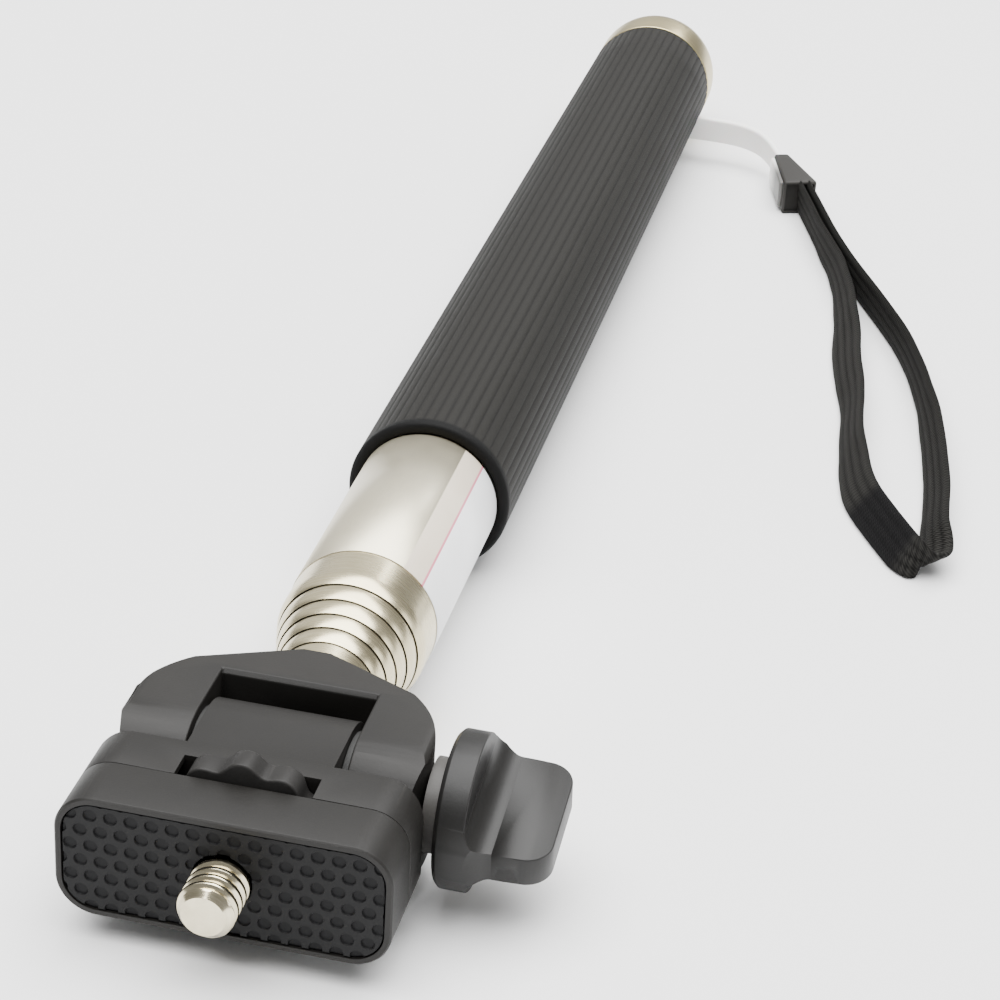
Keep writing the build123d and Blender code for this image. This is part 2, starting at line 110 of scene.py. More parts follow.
class Field:
    """A value that varies over a surface: the output socket of a shader node."""

    def __init__(self, finish, socket):
        self.finish = finish
        self.socket = socket

    def __add__(self, other):
        return self.finish.math("ADD", self, other)

    def __sub__(self, other):
        return self.finish.math("SUBTRACT", self, other)

    def __mul__(self, other):
        return self.finish.math("MULTIPLY", self, other)

    def __truediv__(self, other):
        return self.finish.math("DIVIDE", self, other)

    def __rsub__(self, other):
        return self.finish.math("SUBTRACT", other, self)

    __radd__ = __add__
    __rmul__ = __mul__


class Finish:
    """A material under construction."""

    def __init__(self, name, **constants):
        finishes[name] = bpy.data.materials.new(name)
        finishes[name].use_nodes = True
        self.tree = finishes[name].node_tree
        self.shader = self.tree.nodes["Principled BSDF"]
        for socket, value in constants.items():
            self.shader.inputs[socket.replace("_", " ")].default_value = value

    def node(self, kind, settings, inputs, output=0):
        """Add a node: its settings first, then the values or links of its sockets."""
        made = self.tree.nodes.new(kind)
        for setting, value in settings.items():
            setattr(made, setting, value)
        for socket, value in inputs.items():
            if isinstance(value, Field):
                self.tree.links.new(value.socket, made.inputs[socket])
            else:
                made.inputs[socket].default_value = value
        return Field(self, made.outputs[output])

    def math(self, operation, first, second=0.0):
        """One Math node."""
        return self.node("ShaderNodeMath", {"operation": operation}, {0: first, 1: second})

    def feed(self, socket, field):
        """Link a field to one of the shader's own sockets."""
        self.tree.links.new(field.socket, self.shader.inputs[socket])

    def place(self, scale=(1, 1, 1)):
        """Object coordinates, scaled."""
        coordinates = self.node("ShaderNodeTexCoord", {}, {}, "Object")
        return self.node("ShaderNodeMapping", {}, {"Vector": coordinates, "Scale": scale})

    def axes(self):
        """The three object coordinates."""
        sockets = {"Vector": self.place()}
        return [self.node("ShaderNodeSeparateXYZ", {}, sockets, part) for part in "XYZ"]

    def noise(self, size, detail, roughness=0.5, vector=None):
        """Noise from 0 to 1 whose features are about size metres across."""
        sockets = {"Vector": vector or self.place(), "Scale": 1 / size, "Detail": detail,
                   "Roughness": roughness}
        return self.node("ShaderNodeTexNoise", {}, sockets, "Fac")

    def step(self, field, low, high):
        """0 below low, 1 above high, and smooth between."""
        return self.node("ShaderNodeMapRange", {"interpolation_type": "SMOOTHSTEP"},
                         {"Value": field, "From Min": low, "From Max": high}, "Result")

    def mix(self, share, first, second):
        """A colour that goes from first to second as share goes from 0 to 1."""
        first, second = [c if isinstance(c, Field) else (*c, 1.0) for c in (first, second)]
        return self.node("ShaderNodeMix", {"data_type": "RGBA"}, {0: share, 6: first, 7: second}, 2)

    def bump(self, height, depth):
        """Tip the shading by a height field whose full range is depth metres."""
        sockets = {"Height": height, "Strength": 1.0, "Distance": depth}
        self.feed("Normal", self.node("ShaderNodeBump", {}, sockets, "Normal"))


print("classes made:", Field.__name__, "and", Finish.__name__)

# %% [markdown]
# ## From a bmesh to a piece
#
# Every new piece ends the same way. Doubles are merged, the faces are turned outwards, the
# mesh gets smooth shading with creases where faces meet sharply, and the object rides on the
# body of the node that it replaces. Its slot names the finish that it wears. The object
# itself stays at the origin.

# %% Finish a piece
def merge(shape, distance=1e-7):
    """Merge vertices that lie closer together than the distance."""
    bmesh.ops.remove_doubles(shape, verts=shape.verts, dist=distance)


def make_piece(name, shape, slot, body, replaced=(), crease=30.0):
    """A finished object from a bmesh. With crease None the bmesh's own sharp edges stay."""
    merge(shape)
    bmesh.ops.recalc_face_normals(shape, faces=shape.faces)
    mesh = bpy.data.meshes.new(name)
    shape.to_mesh(mesh)
    shape.free()
    mesh.polygons.foreach_set("use_smooth", [True] * len(mesh.polygons))
    if crease:
        mesh.set_sharp_from_angle(angle=radians(crease))
    piece = bpy.data.objects.new(name, mesh)
    bpy.context.collection.objects.link(piece)
    piece.data.materials.append(finishes[slot])
    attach(piece, body)
    if replaced:
        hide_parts(*replaced)
    low, high = Vector(piece.bound_box[0]), Vector(piece.bound_box[6])
    print(name, len(mesh.polygons), "faces,", [round(side / mm, 2) for side in high - low], "mm")
    return piece


# %% [markdown]
# ## The wrist strap's line
#
# The strap is a flat woven tape, about a quarter of a metre long. It leaves the small black
# clamp, stands on its edge on the ground, turns back at the loop's end and returns to the
# clamp. Its middle line is a smooth spline whose control points were chosen along the
# photographed strap, and are given from the pole's axis where the strap leaves it.

# %% Draw the tape's middle line
strap_root = (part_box("strap_pin")[0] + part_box("strap_pin")[1]) / 2
strap_setback = 6.1 * mm
strap_y = grip_high.y - strap_setback
tape_width, tape_thickness = 6.0 * mm, 1.0 * mm
tape_route = [
    (0.0317, -0.0188), (0.0350, -0.0284), (0.0380, -0.0378), (0.0414, -0.0470), (0.0439, -0.0580),
    (0.0458, -0.0705), (0.0473, -0.0830), (0.0496, -0.0945), (0.0503, -0.1050), (0.0518, -0.1145),
    (0.0534, -0.1224), (0.0574, -0.1304), (0.0606, -0.1363), (0.0623, -0.1392), (0.0647, -0.1386),
    (0.0652, -0.1352), (0.0645, -0.1294), (0.0642, -0.1205), (0.0629, -0.1090), (0.0612, -0.0975),
    (0.0587, -0.0855), (0.0552, -0.0732), (0.0502, -0.0615), (0.0444, -0.0490), (0.0398, -0.0376),
    (0.0365, -0.0279), (0.0331, -0.0182),
]


def spline_points(name, route, resolution):
    """Points along the NURBS spline that has the route as its control points."""
    curve = bpy.data.curves.new(name, "CURVE")
    curve.dimensions = "3D"
    spline = curve.splines.new("NURBS")
    spline.points.add(len(route) - 1)
    for point, place in zip(spline.points, route):
        point.co = (*place, 1.0)
    spline.order_u = 3
    spline.use_endpoint_u = True
    spline.resolution_u = resolution
    holder = bpy.data.objects.new(name, curve)
    line = bpy.data.meshes.new_from_object(holder)
    points = [vertex.co.copy() for vertex in line.vertices]
    bpy.data.objects.remove(holder)
    return points


tape_places = [(x, strap_y + y, ground + tape_width / 2) for x, y in tape_route]
tape_line = spline_points("tape_line", tape_places, 24)
print(len(tape_line), "points along the tape")

# %% [markdown]
# ## The tape leans as it goes
#
# Flat tape on its edge doesn't stand upright. The first run leans towards the loop's
# inside, so its outer face shows from above. At the loop's tight end the tape flips over to
# lean outwards, and on the way back it stands up again. The lean, positive towards the
# loop's inside, is given at a few numbered points of the route and smoothed between them.

# %% Work out a frame at every point of the line
tape_lean = [(0, -3), (1, -3), (2, 4), (3, 14), (4, 27), (5, 41), (6, 34), (7, 28), (8, 28),
             (9, 38), (10, 42), (12, 38), (13, 22), (14, -48), (14.8, -58), (16, -34), (17, -32),
             (18, -26), (19, -22), (20, -10), (21, -4), (22, 0), (24, 3), (26, 3)]


def between(keys, place):
    """The value at a place among (place, value) keys, with smooth steps from key to key."""
    for (start, low), (end, high) in zip(keys, keys[1:]):
        if place <= end:
            share = max(0.0, (place - start) / (end - start))
            return low + (high - low) * share * share * (3 - 2 * share)
    return keys[-1][1]


def heading(line, index):
    """The line's direction at one of its points."""
    return (line[min(index + 1, len(line) - 1)] - line[max(index - 1, 0)]).normalized()


def strip_frame(along, across, place):
    """A matrix whose axes run along a strip, across it and through its thickness."""
    made = Matrix((along, across, along.cross(across))).transposed().to_4x4()
    made.translation = place
    return made


def leaning_frames(line):
    """The leaning tape's frame at every point of its line."""
    frames, route_step = [], (len(tape_route) - 1) / (len(line) - 1)
    for index, point in enumerate(line):
        along = heading(line, index)
        lean = radians(between(tape_lean, index * route_step))
        across = Vector((0, 0, 1)).cross(along) * sin(lean) + Vector((0, 0, cos(lean)))
        height = ground + tape_width / 2 * cos(lean) + tape_thickness / 2 * abs(sin(lean))
        frames.append(strip_frame(along, across, (point.x, point.y, height)))
    return frames


tape_frames = leaning_frames(tape_line)
print(len(tape_frames), "frames along the tape")

# %% [markdown]
# ## Weaving the tape
#
# The tape is woven with four raised ribs along it. A ring of vertices takes the shape of
# one cross-section, and is extruded from frame to frame. Two numbers stay with each vertex,
# how far along the tape it is and how far across, so that the weave can follow every bend.

# %% Extrude the tape along its frames
tape_ribs, rib_depth = 4, 0.34


def extruded(shape, ring):
    """Extrude a ring of edges, and give the new ring."""
    return [part for part in bmesh.ops.extrude_edge_only(shape, edges=ring)["geom"]
            if isinstance(part, bmesh.types.BMEdge)]


def corners(parts):
    """The vertices of some edges or faces."""
    return {vertex for part in parts for vertex in part.verts}


def tape_section(shape, points):
    """A ring whose vertices hold their place across and through the tape."""
    across, through = [shape.verts.layers.float.new(name) for name in ("across", "through")]
    bmesh.ops.create_circle(shape, segments=points, radius=1.0)
    for vertex in shape.verts:
        side = vertex.co.x
        rib = abs(sin(pi * tape_ribs * (side + 1) / 2)) ** 0.7
        rounded = (1 - abs(side) ** 6) ** 0.5
        half = tape_thickness / 2 * (1 - rib_depth * (1 - rib)) * rounded
        vertex[across] = side * tape_width / 2
        vertex[through] = half if vertex.co.y > 0 else -half
    return across, through


def sweep(shape, frames, across, through):
    """Extrude the shape's ring from frame to frame."""
    along = shape.verts.layers.float.new("along")
    ring, distance = list(shape.edges), 0.0
    for index, frame_at in enumerate(frames):
        if index:
            distance += (frame_at.translation - frames[index - 1].translation).length
            ring = extruded(shape, ring)
        for vertex in corners(ring):
            vertex.co = frame_at @ Vector((0, vertex[across], vertex[through]))
            vertex[along] = distance
    bmesh.ops.holes_fill(shape, edges=shape.edges, sides=0)
    return distance


tape_shape = bmesh.new()
tape_length = sweep(tape_shape, tape_frames, *tape_section(tape_shape, points=64))
print("tape swept over", round(tape_length / mm, 1), "mm")

# %% [markdown]
# ## The tape's cloth
#
# Black polyester is never quite black: the ribs are painted paler, as painted highlight, and
# the grooves darker, as painted shade, and the threads cross in a fine slanting weave. All of
# it follows the two numbers that the sweep left on the vertices. Before the loop's tight end
# a stretch is painted darker, as painted shade, and crossed the other way too.

# %% Make the woven finish
def attribute(finish, name):
    """A number that a mesh keeps on its vertices."""
    return finish.node("ShaderNodeAttribute", {"attribute_name": name}, {}, "Fac")


def strap_tape():
    finish = Finish("strap_tape", Roughness=0.85, Specular_IOR_Level=0.06)
    along, across = attribute(finish, "along"), attribute(finish, "across")
    rib = finish.math("ABSOLUTE", finish.math("SINE", (across / tape_width + 0.5) * (pi * tape_ribs)))
    thread, stitch_length = 0.42 * mm, 1.3 * mm
    # Where the painted shade before the loop's tight end starts and ends along the tape.
    shade_start, shade_end, shade_fade = 107 * mm, 122 * mm, 3 * mm
    twill = finish.math("SINE", (along + across * 0.8) * (2 * pi / thread))
    weft = finish.math("SINE", along * (2 * pi / (thread * 1.6)))
    height = rib * 0.4 + twill * 0.25 + weft * 0.2
    # The colour follows the weave's height: paler on the ribs as painted highlight, darker in the
    # grooves as painted shade.
    cloth = finish.mix(finish.step(height, -0.2, 0.8), (0.006, 0.0058, 0.0055),
                       (0.023, 0.0223, 0.0205))
    stitch = finish.math("SINE", (along - across) * (2 * pi / stitch_length)) * twill
    shaded_stitches = finish.mix(finish.step(stitch, -0.6, 0.6), (0.002, 0.002, 0.0022),
                          (0.0085, 0.0082, 0.0085))
    # Painted shade: this stretch is mixed towards near-black, with the crossing stitch pattern.
    into_shade = finish.step(along, shade_start, shade_start + shade_fade)
    past_shade = finish.step(along, shade_end, shade_end + shade_fade)
    finish.feed("Base Color", finish.mix(into_shade * (1 - past_shade), cloth, shaded_stitches))
    finish.bump(height, 0.12 * mm)


strap_tape()
tape = make_piece("wrist_tape", tape_shape, "strap_tape", "handle", ["strap_loop"], crease=60)

# %% [markdown]
# ## The clamp on the strap
#
# A little moulded clamp holds the tape's two ends and the band from the pole. It narrows
# towards the band, with soft edges and a sunk mouth. A cube is pulled to that shape, its
# front face is inset and pushed in, and a bevel rounds what the hand feels.

# %% Shape the clamp
clamp_mouth = Vector((31.7 * mm, strap_y - 19.3 * mm, ground))
clamp_length, clamp_height = 13.0 * mm, 6.0 * mm
clamp_width, clamp_rear_width = 6.0 * mm, 2.6 * mm
mouth_rim, mouth_depth, clamp_round = 0.75 * mm, 0.35 * mm, 0.55 * mm
clamp_heading = radians(-67.0)
clamp_along = Vector((cos(clamp_heading), sin(clamp_heading), 0))
clamp_frame = strip_frame(clamp_along, Vector((0, 0, 1)).cross(clamp_along), clamp_mouth)


def round_edges(shape, edges, width, segments=3):
    """Bevel the given edges to a round of the given width."""
    bmesh.ops.bevel(shape, geom=edges, offset=width, affect="EDGES", segments=segments,
                    profile=0.5, material=-1, clamp_overlap=True)


clamp_shape = bmesh.new()
bmesh.ops.create_cube(clamp_shape, size=1.0)
for vertex in clamp_shape.verts:
    x, y, z = vertex.co
    width = clamp_width if x > 0 else clamp_rear_width
    vertex.co = ((x - 0.5) * clamp_length, y * width, (z + 0.5) * clamp_height)
clamp_shape.normal_update()
outside = list(clamp_shape.edges)
mouth_face = [face for face in clamp_shape.faces if face.normal.x > 0.9]
bmesh.ops.inset_region(clamp_shape, faces=mouth_face, thickness=mouth_rim)
pushed = bmesh.ops.extrude_discrete_faces(clamp_shape, faces=mouth_face)["faces"]
bmesh.ops.translate(clamp_shape, vec=(-mouth_depth, 0, 0), verts=pushed[0].verts)
round_edges(clamp_shape, outside, clamp_round, 4)
bmesh.ops.transform(clamp_shape, matrix=clamp_frame, verts=clamp_shape.verts)
print("clamp shaped,", len(clamp_shape.faces), "faces")

# %% [markdown]
# ## Black moulded plastic
#
# The clamp, the head, the knob and the wheel are black plastic from a textured mould. A fine
# grain breaks up its gloss, handling leaves it shinier in patches, and edges wear a little
# paler. One recipe makes them all, and the inner nylon pieces too, from a dark and a pale
# colour, a roughness and how strongly each mirrors. The wear comes from a noise, and the
# worn edges from the Geometry node's pointiness.

# %% Make the moulded plastics
grain_size, grain_depth = 0.22 * mm, 0.012 * mm


def moulded_plastic(name, dark, pale, gloss, specular):
    """Grained plastic with patches of wear: gloss is its roughness where it is smooth."""
    finish = Finish(name, Specular_IOR_Level=specular)
    grain = finish.noise(grain_size, 4, 0.6)
    cloud = finish.noise(7 * mm, 4, 0.55)
    pointed = finish.node("ShaderNodeNewGeometry", {}, {}, "Pointiness")
    worn = finish.step(pointed, 0.50, 0.58)
    shade = grain * 0.35 + cloud * 0.45 + worn * 0.35
    finish.feed("Base Color", finish.mix(finish.step(shade, 0.2, 0.9), dark, pale))
    finish.feed("Roughness", grain * 0.14 + cloud * 0.12 - worn * 0.06 + gloss)
    finish.bump(grain, grain_depth)


plastics = {
    "crimp_plastic": ((0.015, 0.0142, 0.0130), (0.027, 0.0254, 0.023), 0.44, 0.22),
    "head_plastic": ((0.0062, 0.0057, 0.0050), (0.0115, 0.0105, 0.0092), 0.40, 0.26),
    "knob_plastic": ((0.0055, 0.0053, 0.0050), (0.0110, 0.0105, 0.0098), 0.34, 0.30),
    "wheel_plastic": ((0.010, 0.0095, 0.009), (0.020, 0.019, 0.018), 0.40, 0.18),
    "black_nylon": ((0.015, 0.015, 0.015), (0.035, 0.035, 0.034), 0.45, 0.18),
    "bush_nylon": ((0.50, 0.48, 0.42), (0.66, 0.64, 0.57), 0.42, 0.45),
    "washer_nylon": ((0.032, 0.030, 0.028), (0.060, 0.057, 0.053), 0.40, 0.30),
}
for name, look in plastics.items():
    moulded_plastic(name, *look)
print("plastics made:", *plastics)

# %% [markdown]
# ## The white band
#
# A milky white plastic band runs from the pole to the clamp. It leaves a slot in the grip,
# stands nearly on its edge and leans back, and its end lies along the clamp's near side.
# Its middle line is drawn in its leaning plane, and the tape's sweep makes it too, with a
# flat section.

# %% Sweep the band in its leaning plane
band_lean, band_drop = radians(20.0), 2.2 * mm
band_tilt = Matrix.Rotation(band_lean, 3, "X")
band_up, band_back = band_tilt @ Vector((0, 0, 1)), band_tilt @ Vector((0, 1, 0))
band_root = strap_root - band_up * band_drop
band_width, band_thickness, band_round = 5.2 * mm, 1.2 * mm, 0.5 * mm
band_route = [(0.0020, 0.0), (0.0105, 0.0002), (0.0190, -0.0002), (0.0242, -0.0031),
              (0.0269, -0.0082)]
band_places = [band_root + band_tilt @ Vector((x, y, 0)) for x, y in band_route]
band_line = spline_points("band_line", band_places, 16)


def flat_section(shape, width, thickness, corner):
    """A ring with round corners that holds its place across and through a strip."""
    across, through = [shape.verts.layers.float.new(name) for name in ("across", "through")]
    bmesh.ops.create_grid(shape, x_segments=1, y_segments=1, size=0.5)
    for vertex in shape.verts:
        vertex.co = (vertex.co.x * width, vertex.co.y * thickness, 0)
    bmesh.ops.bevel(shape, geom=shape.verts, offset=corner, affect="VERTICES", segments=4,
                    profile=0.5, material=-1, clamp_overlap=True)
    bmesh.ops.delete(shape, geom=shape.faces, context="FACES_ONLY")
    for vertex in shape.verts:
        vertex[across], vertex[through] = vertex.co.x, vertex.co.y
    return across, through


band_shape = bmesh.new()
band_section = flat_section(band_shape, band_width, band_thickness, band_round)
band_frames = [strip_frame(heading(band_line, index), band_up, point)
               for index, point in enumerate(band_line)]
band_length = sweep(band_shape, band_frames, *band_section)
print("band swept over", round(band_length / mm, 1), "mm")

# %% Lay the band's end along the clamp
tail_shape = bmesh.new()
bmesh.ops.create_cube(tail_shape, size=1.0)
tail_round, tail_stand_off = 0.35 * mm, 0.12 * mm
tail_turn = Matrix.Rotation((clamp_width - clamp_rear_width) / 2 / clamp_length, 4, "Z")
tail_size = Matrix.Diagonal((11.6 * mm, 0.9 * mm, 4.7 * mm, 1.0))
tail_side = -(clamp_width + clamp_rear_width) / 4 - tail_stand_off
tail_place = Matrix.Translation((-6.9 * mm, tail_side, 3.1 * mm))
tail_frame = clamp_frame @ tail_place @ tail_turn.inverted() @ tail_size
bmesh.ops.transform(tail_shape, matrix=tail_frame, verts=tail_shape.verts)
round_edges(tail_shape, list(tail_shape.edges), tail_round)
print("band's end,", len(tail_shape.faces), "faces")

# %% [markdown]
# ## Milky plastic
#
# The band is soft white plastic. Light enters it a little way, so its edges look greyer and
# its face glows. A noise gives it faint clouds, and a little subsurface scattering the milk.
# Where its end lies against the black clamp, it is painted darker and darker, as painted shade.

# %% Make the milky finish and the strap's small pieces
def band_plastic():
    finish = Finish("band_plastic", Subsurface_Weight=0.15, Subsurface_Scale=0.001)
    cloud, grain = finish.noise(3 * mm, 3), finish.noise(0.3 * mm, 3)
    x, y = finish.axes()[:2]
    past_mouth = x * clamp_along.x + y * clamp_along.y - clamp_mouth.dot(clamp_along)
    # Painted shade: the band is painted darker towards the black clamp.
    clamp_shade = finish.step(past_mouth, -13.5 * mm, -5.0 * mm)
    white = finish.mix(cloud * 0.7 + grain * 0.3, (0.90, 0.89, 0.86), (0.97, 0.965, 0.94))
    finish.feed("Base Color", finish.mix(clamp_shade, white, (0.10, 0.098, 0.092)))
    finish.feed("Roughness", cloud * 0.15 + grain * 0.1 + 0.28)
    finish.bump(grain, 0.01 * mm)


band_plastic()
clamp = make_piece("strap_clamp", clamp_shape, "crimp_plastic", "handle", ["strap_crimp"], crease=40)
band = make_piece("white_band", band_shape, "band_plastic", "handle", ["strap_band"], crease=50)
band_tail = make_piece("band_end", tail_shape, "band_plastic", "handle", crease=40)

# %% [markdown]
# ## Round pieces are spun
#
# Tubes, the cap and the film are round about the pole. Each starts as half of its section,
# a chain of vertices given as radius and place along the pole, and one full spin closes it.
# A round corner in the section is a short arc of places.

# %% Spin a half section about the pole
def arc(radius, y, reach, start, end, steps):
    """Places on a circle about (radius, y), from one angle in degrees to another."""
    turns = [radians(start + (end - start) * step / steps) for step in range(steps + 1)]
    return [(radius + reach * cos(turn), y + reach * sin(turn)) for turn in turns]


def spin(shape, section, steps, turns=1, rise=0.0):
    """Spin a section about the pole, and move it along by the rise with each turn."""
    chain = [shape.verts.new((radius, y, 0)) for radius, y in section]
    runs = [shape.edges.new(pair) for pair in zip(chain, chain[1:])]
    bmesh.ops.spin(shape, geom=chain + runs, cent=(0, 0, 0), axis=(0, 1, 0),
                   angle=2 * pi * turns, steps=steps * turns, dvec=(0, rise / steps, 0),
                   use_merge=not rise)


def spun(section, steps=160):
    """A bmesh of a half section, spun once about the pole."""
    shape = bmesh.new()
    spin(shape, section, steps)
    return shape


print("an arc of 2 steps has", len(arc(0, 0, 1, 0, 90, 2)), "places")

# %% [markdown]
# ## Drawn steel
#
# The tubes are thin steel with a warm bright plating. Drawing and sliding leave fine rings
# and a few cloudy patches. The rings are a noise that is squeezed along the pole. They
# change how sharply the metal mirrors more than they change its colour.

# %% Make the metals
def bare_metal(name, dull, bright, gloss, ring, depth):
    """Metal with fine rings about the pole: gloss is its roughness where it is polished."""
    finish = Finish(name, Metallic=1.0)
    rings = finish.noise(ring, 3, 0.6, finish.place(scale=(0.03, 1.0, 0.03)))
    cloud = finish.noise(6 * mm, 4, 0.6)
    shine = finish.step(rings * 0.5 + cloud * 0.6, 0.3, 0.8)
    finish.feed("Base Color", finish.mix(shine, dull, bright))
    finish.feed("Roughness", rings * 0.10 + cloud * 0.06 + gloss)
    finish.bump(rings, depth)


metals = {
    "tube_steel": ((0.54, 0.475, 0.31), (0.70, 0.625, 0.42), 0.19, 0.20 * mm, 0.0006 * mm),
    "screw_steel": ((0.52, 0.465, 0.32), (0.78, 0.71, 0.52), 0.10, 0.12 * mm, 0.0015 * mm),
    "zinc_steel": ((0.50, 0.51, 0.52), (0.70, 0.71, 0.72), 0.25, 0.20 * mm, 0.0015 * mm),
    "cap_metal": ((0.44, 0.375, 0.20), (0.61, 0.53, 0.31), 0.24, 0.35 * mm, 0.0015 * mm),
}
for name, look in metals.items():
    bare_metal(name, *look)
print("metals made:", *metals)

# %% [markdown]
# ## Six tubes with rolled lips
#
# Each tube's front is rolled inwards until it closes on the next tube, which keeps dirt out
# and guides the slide. The rolled lips catch the light as a stack of bright rings with a
# thin dark line between them. The innermost tube has no lip, because it ends in the head.

# %% Spin the tubes
tube_wall, tube_step, tube_gap, lip_length = 0.35 * mm, 0.66 * mm, 0.14 * mm, 2.1 * mm


def tube_section(number):
    """Half section of a tube: its outside, its lip, and its inside back to the start."""
    low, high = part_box(f"tube_{number}")
    outer, front, rear = high.x, low.y, high.y
    inner, edge = outer - tube_wall, 0.12 * mm
    if number == 6:
        rim = arc(outer - edge, front + edge, edge, 0, -90, 4)
        return [(inner, rear), (outer, rear), *rim, (inner, front), (inner, rear)]
    mouth = outer - tube_step + tube_gap
    roll = ((outer - mouth) ** 2 + lip_length ** 2) / (2 * (outer - mouth))
    lip = arc(outer - roll, front + lip_length, roll, 0, -degrees(asin(lip_length / roll)), 12)
    return [(inner, rear), (outer, rear), *lip, (mouth, front + 0.4 * mm),
            (mouth, front + lip_length), (inner, front + lip_length + tube_wall), (inner, rear)]


for number in range(1, 7):
    carrier = "handle" if number == 1 else f"tube_{number}"
    make_piece(f"steel_tube_{number}", spun(tube_section(number)), "tube_steel", carrier,
               [f"tube_{number}"], crease=25)

# %% [markdown]
# ## The printed film
#
# A thin film is wrapped round the bare part of the outer tube. Most of it is satin silver,
# partly metal, and towards the right a cream field, a thin pink line and a white field
# follow. The fields run along the pole, so the angle about the pole picks the colour.

# %% Wrap the film
def label_print():
    finish = Finish("label_print", Coat_Weight=0.10, Coat_Roughness=0.15)
    x, _, z = finish.axes()
    turn = finish.math("ARCTAN2", x, z) * (180 / pi)
    cloud = finish.noise(5 * mm, 3)
    grain = finish.noise(0.25 * mm, 3, 0.5, finish.place(scale=(1, 0.1, 1)))
    past_silver, past_cream = finish.step(turn, 30.8, 31.4), finish.step(turn, 49.2, 49.6)
    past_pink, past_white = finish.step(turn, 51.1, 51.5), finish.step(turn, 150.0, 150.4)
    silver = 1 - past_silver + past_white
    metal = finish.mix(cloud * 0.6 + grain * 0.4, (0.60, 0.55, 0.41), (0.70, 0.65, 0.50))
    cream = finish.mix(cloud, (0.62, 0.54, 0.43), (0.72, 0.64, 0.52))
    pink = finish.mix(grain, (0.60, 0.16, 0.23), (0.70, 0.24, 0.31))
    white = finish.mix(cloud, (0.84, 0.845, 0.85), (0.92, 0.925, 0.93))
    printed = finish.mix(past_pink, finish.mix(past_cream, cream, pink), white)
    finish.feed("Base Color", finish.mix(silver, printed, metal))
    finish.feed("Metallic", silver * 0.90)
    finish.feed("Roughness", cloud * 0.04 + grain * 0.05 + 0.34)


film_low, film_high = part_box("label_film")
film_edge, film_inner = 0.04 * mm, film_high.x - 0.09 * mm
film_r, front, rear = film_high.x, film_low.y, film_high.y
film_section = [(film_inner, front), (film_r - film_edge, front), (film_r, front + film_edge),
                (film_r, rear - film_edge), (film_r - film_edge, rear), (film_inner, rear),
                (film_inner, front)]
label_print()
make_piece("printed_film", spun(film_section, 192), "label_print", "handle", ["label_film"],
           crease=50)

# %% [markdown]
# ## The end cap
#
# A pale gold cap closes the grip's end. It has a short straight side, a wide round shoulder
# and a small crown. It is one spun section, and its spigot sits in the tube.

# %% Spin the end cap
cap_low, cap_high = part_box("end_cap")
cap_height, cap_straight, cap_edge, shoulder = 13.7 * mm, 5.2 * mm, 0.2 * mm, 8.2 * mm
cap_rim, cap_r = cap_high.y - cap_height, cap_high.x
cap_section = [(0, cap_low.y), (tube_r, cap_low.y), (tube_r, cap_rim),
               *arc(cap_r - cap_edge, cap_rim + cap_edge, cap_edge, -90, 0, 4),
               *arc(cap_r - shoulder, cap_rim + cap_straight, shoulder, 0, 84, 24),
               (2.2 * mm, cap_high.y - 0.17 * mm), (1.1 * mm, cap_high.y - 0.04 * mm),
               (0, cap_high.y)]
make_piece("gold_cap", spun(cap_section), "cap_metal", "handle", ["end_cap"], crease=35)

# %% [markdown]
# ## The ribbed grip
#
# The grip is a foam rubber sleeve with 48 soft ribs along it. A circle with ten vertices to
# a rib gets the ribs' outline, and extruding it ring by ring makes the outside, the round
# front edge and the inside. How high a vertex lies on its rib is kept with it, so that the
# finish can darken the grooves.

# %% Extrude the ribbed sleeve
rib_count, rib_parts, groove_depth = 48, 10, 0.12 * mm
grip_r, sleeve_bore = grip_high.x, tube_r + 0.02 * mm
grip_middle = [grip_low.y + (grip_high.y - grip_low.y) * step / 16 for step in range(1, 16)]
bore_edge, front_round, ribs_start = 0.3 * mm, 0.6 * mm, grip_low.y + 1.8 * mm
front_edge = arc(grip_r - front_round, grip_low.y + front_round, front_round, -90, 0, 6)
sleeve_rings = [(sleeve_bore, grip_high.y, 0), (sleeve_bore, grip_low.y + bore_edge, 0),
                (sleeve_bore + bore_edge, grip_low.y, 0), *[(r, y, 0) for r, y in front_edge],
                (grip_r, ribs_start - 0.5 * mm, 0), (grip_r, ribs_start, 1),
                *[(grip_r, y, 1) for y in grip_middle], (grip_r, grip_high.y - 0.5 * mm, 1),
                (grip_r - 0.4 * mm, grip_high.y, 0), (sleeve_bore, grip_high.y, 0)]
slot_half_height, slot_half_width, slot_reach = 2.9 * mm, 0.95 * mm, 16 * mm


def ribbed_sleeve():
    shape = bmesh.new()
    turn, rib = [shape.verts.layers.float.new(name) for name in ("turn", "rib")]
    bmesh.ops.create_circle(shape, segments=rib_count * rib_parts, radius=1.0)
    for vertex in shape.verts:
        vertex[turn] = atan2(vertex.co.x, vertex.co.y)
        vertex[rib] = abs(sin(vertex[turn] * rib_count / 2)) ** 0.6
    ring = list(shape.edges)
    for index, (radius, y, share) in enumerate(sleeve_rings):
        ring = extruded(shape, ring) if index else ring
        for vertex in corners(ring):
            reach = radius - groove_depth * share * (1 - vertex[rib])
            vertex.co = (reach * sin(vertex[turn]), y, reach * cos(vertex[turn]))
    merge(shape)
    return shape


def cut(shape, faces, place, outwards, clear=False):
    """Cut the given faces with a plane, and clear what lies outside it if asked to."""
    geometry = list({part for face in faces for part in (face, *face.edges, *face.verts)})
    bmesh.ops.bisect_plane(shape, geom=geometry, plane_co=place, plane_no=outwards,
                           clear_outer=clear, dist=1e-7)


